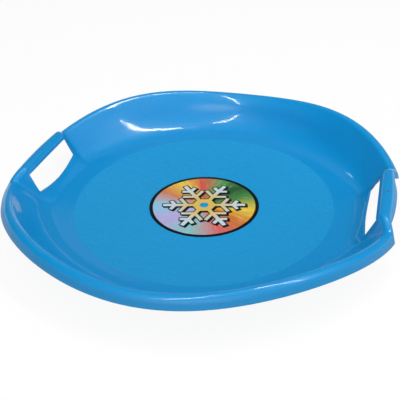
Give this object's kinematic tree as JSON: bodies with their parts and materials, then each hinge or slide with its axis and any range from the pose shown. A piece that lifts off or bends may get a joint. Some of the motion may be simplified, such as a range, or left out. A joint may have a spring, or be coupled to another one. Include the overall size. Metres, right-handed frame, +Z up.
{
  "type": "saucer sled",
  "caption": "Round shallow moulded plastic saucer sled with a rolled waving rim, a hand hole under the grip on each side and a round printed label in the middle of the floor.",
  "frame": {"origin": "middle of the flat underside, where the sled rests on level ground", "axes": "+Z up out of the bowl, X from grip to grip, Y from front to back"},
  "size_m": [0.5738, 0.6004, 0.0745],
  "materials": {
    "blue_plastic": "glossy self-coloured polyethylene, a little duller on the floor",
    "printed_film": "satin printed film in several colours with a black border"
  },
  "bodies": {
    "root": {"saucer_shell": "blue_plastic", "centre_label": "printed_film"}
  },
  "joints": []
}
